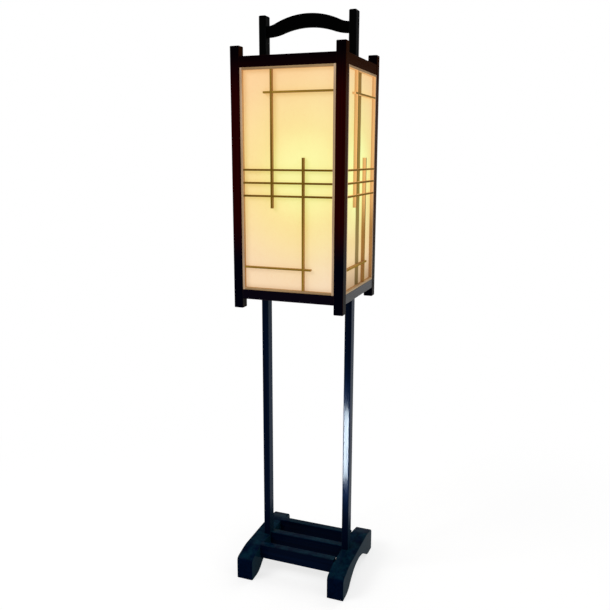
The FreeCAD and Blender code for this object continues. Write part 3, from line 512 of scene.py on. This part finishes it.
# fittings: metals with turning marks, moulded plastics with a mottle
fittings = {
    "zincSteel": {"light": (0.60, 0.60, 0.58), "dark": (0.40, 0.40, 0.40), "metal": 1.0,
                  "roughness": 0.34},
    "brass": {"light": (0.76, 0.55, 0.24), "dark": (0.52, 0.34, 0.13), "metal": 1.0,
              "roughness": 0.26},
    "bulbMetal": {"light": (0.74, 0.74, 0.73), "dark": (0.55, 0.55, 0.55), "metal": 1.0,
                  "roughness": 0.3},
    "brownPlastic": {"light": (0.10, 0.05, 0.03), "dark": (0.055, 0.026, 0.017), "metal": 0.0,
                     "roughness": 0.28},
    "blackPlastic": {"light": (0.035, 0.035, 0.036), "dark": (0.02, 0.02, 0.02), "metal": 0.0,
                     "roughness": 0.45},
    "blackGlass": {"light": (0.022, 0.022, 0.028), "dark": (0.012, 0.012, 0.015), "metal": 0.0,
                   "roughness": 0.12},
}
anyFitting = {"marks": (60.0, 60.0, 2600.0), "markDetail": 3.0, "markHarsh": 0.6, "ripple": 0.14,
              "tarnishScale": 90.0, "tarnishDetail": 5.0, "tarnishHarsh": 0.65, "tarnishStart": 0.35,
              "tarnishFull": 0.7, "tarnishRough": 0.08, "rub": 0.3, "rubPatch": 160.0,
              "dustAndTopLight": (0.42, 0.40, 0.37), "dustAndTopLightAmount": 0.15, "dustRough": 0.4,
              "bump": 0.12, "relief": 0.00005}


def fittingFinish(name, look):
    # fine rings of noise up the axis, a cloudy tarnish, brighter rubbed edges and a little dust
    finish, tree, shader, place, normal = newFinish(name)
    shared = anyFitting
    drawn = vectorSums(tree, "MULTIPLY", place, shared["marks"])
    marks = noise(tree, drawn, 1.0, shared["markDetail"], shared["markHarsh"])
    cloud = noise(tree, place, shared["tarnishScale"], shared["tarnishDetail"], shared["tarnishHarsh"])
    tarnish = ramp(tree, cloud, shared["tarnishStart"], shared["tarnishFull"])
    rub = placeGroup(tree, edgeRub, Place=place, Normal=normal, Amount=shared["rub"],
                     Patch=shared["rubPatch"])["Rub"]
    dustAndTopLight = placeGroup(tree, restingDustAndTopLight, Place=place, Normal=normal, Amount=shared["dustAndTopLightAmount"])["DustAndTopLight"]
    colour = blend(tree, tarnish, look["light"], look["dark"])
    colour = blend(tree, dustAndTopLight, blend(tree, rub, colour, look["light"]), shared["dustAndTopLight"])
    rough = sums(tree, "MULTIPLY_ADD", marks, shared["ripple"], look["roughness"] - shared["ripple"] / 2)
    dull = sums(tree, "MULTIPLY", dustAndTopLight, shared["dustRough"])
    dull = sums(tree, "MULTIPLY_ADD", tarnish, shared["tarnishRough"], dull)
    setShader(tree, shader, {"Base Color": colour, "Metallic": look["metal"],
                             "Roughness": sums(tree, "ADD", rough, dull),
                             "Normal": bump(tree, marks, shared["bump"], shared["relief"])})
    return finish


bulbLook = {
    "glass": (0.985, 0.99, 0.985), "glassRoughness": 0.02, "index": 1.47,
    "dustAndTopLightAmount": 0.25, "dustRough": 0.25, "waveScale": 45.0, "bump": 0.05, "relief": 0.0002,
    "rods": (1.0, 0.80, 0.42), "rodsDark": (0.95, 0.62, 0.24), "rodsStrength": 6.0, "rodsRoughness": 0.5,
    "dots": (40.0, 40.0, 700.0), "dotStart": 0.35, "dotFull": 0.6,
}


def glassFinish(name, look):
    # clear glass with a faint bloom of dust that only roughens it
    finish, tree, shader, place, normal = newFinish(name)
    dustAndTopLight = placeGroup(tree, restingDustAndTopLight, Place=place, Normal=normal, Amount=look["dustAndTopLightAmount"])["DustAndTopLight"]
    rough = sums(tree, "MULTIPLY_ADD", dustAndTopLight, look["dustRough"], look["glassRoughness"])
    wave = noise(tree, place, look["waveScale"], 1.0)
    setShader(tree, shader, {"Base Color": look["glass"], "Roughness": rough, "IOR": look["index"],
                             "Transmission Weight": 1.0,
                             "Normal": bump(tree, wave, look["bump"], look["relief"])})
    return finish


def rodFinish(name, look):
    # glowing coated rods, a little darker between their lit dots
    finish, tree, shader, place, _ = newFinish(name)
    drawn = vectorSums(tree, "MULTIPLY", place, look["dots"])
    dots = ramp(tree, noise(tree, drawn, 1.0, 1.0), look["dotStart"], look["dotFull"])
    colour = blend(tree, dots, look["rodsDark"], look["rods"])
    setShader(tree, shader, {"Base Color": colour, "Roughness": look["rodsRoughness"],
                             "Emission Color": colour, "Emission Strength": look["rodsStrength"]})
    return finish


woods = {"stand": standLacquer, "stretcher": stretcherLacquer, "foot": footLacquer,
         "handle": handleLacquer, "lantern": lanternLacquer, "low": lowLacquer,
         "stile": stileWood, "stick": stickWood, "lattice": latticeWood}
finishes = {name: fittingFinish(name, look) for name, look in fittings.items()}
finishes["paper"] = paperFinish(litPaper)
finishes["glass"] = glassFinish("bulbGlass", bulbLook)
finishes["rods"] = rodFinish("lightRods", bulbLook)


def finishFor(label):
    # a wood's label ends with the axis that its grain runs along
    if label not in finishes:
        wood, axis = label[:-1], label[-1]
        finishes[label] = woodFinish(wood + "Wood" + axis, woods[wood], axis.lower())
    return finishes[label]


# which finish each carried-over solid wears, with wood grain along its length
sideAxis = {"front": "X", "rear": "X", "left": "Y", "right": "Y"}
worn = {
    "lamp_bridge": "lanternX", "stem_pipe": "zincSteel", "stem_nuts": "zincSteel",
    "foot_screws": "zincSteel", "post_screws": "zincSteel", "cord_bush": "blackPlastic",
    "holder_cap": "brass", "holder_shell": "brass", "holder_core": "brownPlastic",
    "screw_shell": "brass", "centre_contact": "brass", "switch_shaft": "brass",
    "switch_knob": "brownPlastic", "bulb_cap": "bulbMetal", "bulb_insulator": "blackGlass",
    "bulb_tip": "bulbMetal", "bulb_glass": "glass", "bulb_mount": "glass", "bulb_filaments": "rods",
    "handle_arch": "handleX", "left_foot": "footY", "right_foot": "footY",
    "left_post": "standZ", "right_post": "standZ",
    "front_stretcher": "stretcherX", "middle_stretcher": "stretcherX", "rear_stretcher": "stretcherX",
}
for side, axis in sideAxis.items():
    worn[side + "_top_rail"] = "lantern" + axis
    worn[side + "_bottom_rail"] = "low" + axis
    worn[side + "_panel_stiles"] = "stileZ"
    worn[side + "_panel_sticks"] = "stick" + axis
    worn[side + "_lattice_uprights"] = "latticeZ"
    worn[side + "_lattice_crossbars"] = "lattice" + axis
    worn[side + "_paper"] = "paper"
for name in nodes:
    label = "lanternZ" if name.endswith("_corner_post") else worn[name]
    nodes[name].data.materials.clear()
    nodes[name].data.materials.append(finishFor(label))
print("solids finished with", len(finishes), "finishes")


# new pieces: grids of points, with quads between neighbouring rows and columns
mergeWithin = 1e-7  # metres, for the points that meet at a pole


def gridQuads(rows, columns, roundColumns=False, roundRows=False):
    # a quad joins a point to the next ones along its row and column, and where a grid goes round,
    # the last ones join the first
    number = np.arange(rows * columns).reshape(rows, columns)
    ahead = np.roll(number, -1, 1)
    quads = np.stack((number, ahead, np.roll(ahead, -1, 0), np.roll(number, -1, 0)), -1)
    quads = quads if roundColumns else quads[:, :-1]
    quads = quads if roundRows else quads[:-1]
    return quads.reshape(-1, 4)


def newPiece(name, points, quads, finish, body, slot, *replaced):
    # a smooth mesh whose poles are closed, riding on its body in place of the solids that it replaces
    mesh = bpy.data.meshes.new(name)
    mesh.from_pydata(points.reshape(-1, 3).tolist(), [], quads.tolist())
    shape = bmesh.new()
    shape.from_mesh(mesh)
    bmesh.ops.remove_doubles(shape, verts=shape.verts, dist=mergeWithin)
    shape.to_mesh(mesh)
    shape.free()
    mesh.polygons.foreach_set("use_smooth", np.ones(len(mesh.polygons), bool))
    mesh.materials.append(finishFor(finish))
    piece = bpy.data.objects.new(name, mesh)
    bpy.context.collection.objects.link(piece)
    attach(piece, body)
    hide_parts(*replaced)
    return piece


# paper sheets, glued behind the sticks and a little slack between them
paperSheet = {"thickness": 0.0003, "slack": 0.00045, "columns": 60, "rows": 130, "cellWide": 0.079,
              "cellTall": 0.061, "skew": 1.3, "glued": 0.012,
              "quarterTurns": {"front": 0, "right": 1, "rear": 2, "left": 3}}


def paperPoints(low, high, look):
    # depth is the glue line less a slack of raised cosines across and up, faded out at the sheet's rim
    across = np.linspace(low[0], high[0], look["columns"])
    up = np.linspace(low[2], high[2], look["rows"])
    x, z = np.meshgrid(across, up)
    fromSides = np.clip((high[0] - np.abs(x)) / look["glued"], 0, 1)
    fromEnds = np.clip(np.minimum(z - low[2], high[2] - z) / look["glued"], 0, 1)
    wide = np.cos(2 * np.pi * x / look["cellWide"])
    tall = np.cos(2 * np.pi * z / look["cellTall"] + look["skew"] * x / high[0])
    y = low[1] + look["thickness"] / 2 + look["slack"] * (2 - wide - tall) / 4 * fromSides * fromEnds
    return np.stack((x, y, z), -1)


low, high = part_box("front_paper")
for side, turns in paperSheet["quarterTurns"].items():
    turn = np.array(Matrix.Rotation(math.radians(90 * turns), 3, "Z"))
    points = paperPoints(np.array(low), np.array(high), paperSheet) @ turn.T
    sheet = newPiece(side + "Paper", points, gridQuads(paperSheet["rows"], paperSheet["columns"]),
                     "paper", "lamp_frame", "lit_paper", side + "_paper")
    wall = sheet.modifiers.new("paperThickness", "SOLIDIFY")
    wall.thickness = paperSheet["thickness"]
    wall.offset = 0.0
print("papers hung")


def turnedPoints(radius, height, steps):
    # a profile of radius and height carried round the upright axis: x and y are the radius times
    # the angle's cosine and sine
    angle = np.linspace(0, 2 * np.pi, steps, endpoint=False)
    return np.stack((radius[:, None] * np.cos(angle), radius[:, None] * np.sin(angle),
                     np.repeat(height[:, None], steps, 1)), -1)


bulbGlobe = {"globeRadius": 0.030, "neckRadius": 0.0117, "neckRise": 0.047, "wall": 0.0008,
             "neckPoints": 6, "bendPoints": 24, "ballPoints": 60, "steps": 96}


def globeProfile(look, inset, low, centre):
    # neck straight up, then a bend that touches the globe's circle, then the circle to the pole
    globe, neck = look["globeRadius"], look["neckRadius"]
    bend = (neck ** 2 + look["neckRise"] ** 2 - globe ** 2) / (2 * (globe - neck))
    lean = math.atan2(look["neckRise"], neck + bend)
    foot = np.linspace(low, centre - look["neckRise"], look["neckPoints"])[:-1]
    sweep = np.linspace(0, lean, look["bendPoints"])[:-1]
    ball = np.linspace(-lean, math.pi / 2, look["ballPoints"])
    radius = np.concatenate((np.full(len(foot), neck - inset),
                             neck + bend - (bend + inset) * np.cos(sweep),
                             (globe - inset) * np.cos(ball)))
    height = np.concatenate((foot, centre - look["neckRise"] + (bend + inset) * np.sin(sweep),
                             centre + (globe - inset) * np.sin(ball)))
    radius[-1] = 0.0
    return radius, height


glassLow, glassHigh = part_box("bulb_glass")
bulbCentre = glassHigh[2] - bulbGlobe["globeRadius"]
outer = globeProfile(bulbGlobe, 0.0, glassLow[2], bulbCentre)
inner = globeProfile(bulbGlobe, bulbGlobe["wall"], glassLow[2], bulbCentre)
radius = np.concatenate((outer[0], inner[0][::-1]))
height = np.concatenate((outer[1], inner[1][::-1]))
points = turnedPoints(radius, height, bulbGlobe["steps"])
quads = gridQuads(len(radius), bulbGlobe["steps"], roundColumns=True, roundRows=True)
newPiece("bulbGlobe", points, quads, "glass", "bulb", "bulb_glass", "bulb_glass")
print("bulb blown")

# stage: a wide pale floor under a white world, and soft lamps
stageLook = {"floorHalf": 14.0, "floor": (0.86, 0.86, 0.86), "white": (1.0, 1.0, 1.0), "ambient": 0.42,
             "shadowShare": 0.45, "shadowNear": 0.5, "shadowFar": 1.5, "floorLit": 0.62}
lamps = {
    "keyLamp": {"place": (-2.1, -2.1, 2.9), "aim": (0.0, 0.0, 0.85), "size": (1.6, 1.6), "power": 49.0},
    "fillLamp": {"place": (2.4, -0.9, 1.7), "aim": (0.0, 0.0, 0.8), "size": (1.4, 1.4), "power": 7.0},
    "backLamp": {"place": (0.6, 2.2, 2.6), "aim": (0.0, 0.0, 0.9), "size": (1.6, 1.6), "power": 18.0},
    "lowLamp": {"place": (-0.033, -0.5, 0.162), "aim": (0.116, -0.0145, 0.38), "size": (0.06, 0.22),
                "power": 0.60, "spread": 24.0},
}


def seenRays(tree):
    # one for what the camera, a reflection or glass sees, nought for light that falls on things
    path = tree.nodes.new("ShaderNodeLightPath").outputs
    seen = sums(tree, "MAXIMUM", path["Is Camera Ray"], path["Is Glossy Ray"])
    return sums(tree, "MAXIMUM", seen, path["Is Transmission Ray"])


def setFloor(look):
    # the floor shows as white, and near the lamp as a mix of white and its lit colour, which keeps
    # the shadow
    half = look["floorHalf"]
    corners = [(-half, -half, 0), (half, -half, 0), (half, half, 0), (-half, half, 0)]
    mesh = bpy.data.meshes.new("floor")
    mesh.from_pydata(corners, [], [(0, 1, 2, 3)])
    finish = bpy.data.materials.new("paleFloor")
    finish.use_nodes = True
    tree = finish.node_tree
    tree.nodes.clear()
    away = vectorSums(tree, "LENGTH", tree.nodes.new("ShaderNodeTexCoord").outputs["Object"])
    share = ramp(tree, away, look["shadowFar"], look["shadowNear"], 0.0, look["shadowShare"])
    lack = sums(tree, "SUBTRACT", 1.0, sums(tree, "MULTIPLY", share, look["floorLit"]))
    strength = sums(tree, "DIVIDE", lack, sums(tree, "SUBTRACT", 1.0, share))
    lit = shaderNode(tree, "BsdfDiffuse", {"Color": look["floor"]}).outputs[0]
    white = shaderNode(tree, "Emission", {"Color": look["white"], "Strength": strength}).outputs[0]
    shown = shaderNode(tree, "MixShader", {0: share, 1: white, 2: lit}).outputs[0]
    mixed = shaderNode(tree, "MixShader", {0: seenRays(tree), 1: lit, 2: shown}).outputs[0]
    shaderNode(tree, "OutputMaterial", {"Surface": mixed})
    mesh.materials.append(finish)
    floor = bpy.data.objects.new("floor", mesh)
    bpy.context.collection.objects.link(floor)


def setWorld(look):
    # white where it is seen, and dimmer where it only lights
    world = bpy.data.worlds.new("whiteStudio")
    bpy.context.scene.world = world
    world.use_nodes = True
    tree = world.node_tree
    sky = tree.nodes["Background"].inputs
    wire(tree, look["white"], sky["Color"])
    wire(tree, between(tree, seenRays(tree), look["ambient"], 1.0), sky["Strength"])


def hangLamp(name, look):
    # a soft box that looks at its aim
    light = bpy.data.lights.new(name, "AREA")
    light.shape = "RECTANGLE"
    light.size, light.size_y = look["size"]
    light.energy = look["power"]
    light.spread = math.radians(look.get("spread", 180.0))
    lamp = bpy.data.objects.new(name, light)
    lamp.location = look["place"]
    toAim = Vector(look["aim"]) - Vector(look["place"])
    lamp.rotation_euler = toAim.to_track_quat("-Z", "Y").to_euler()
    lamp.visible_camera = False
    bpy.context.collection.objects.link(lamp)


setFloor(stageLook)
setWorld(stageLook)
for name, look in lamps.items():
    hangLamp(name, look)
print("stage lit")
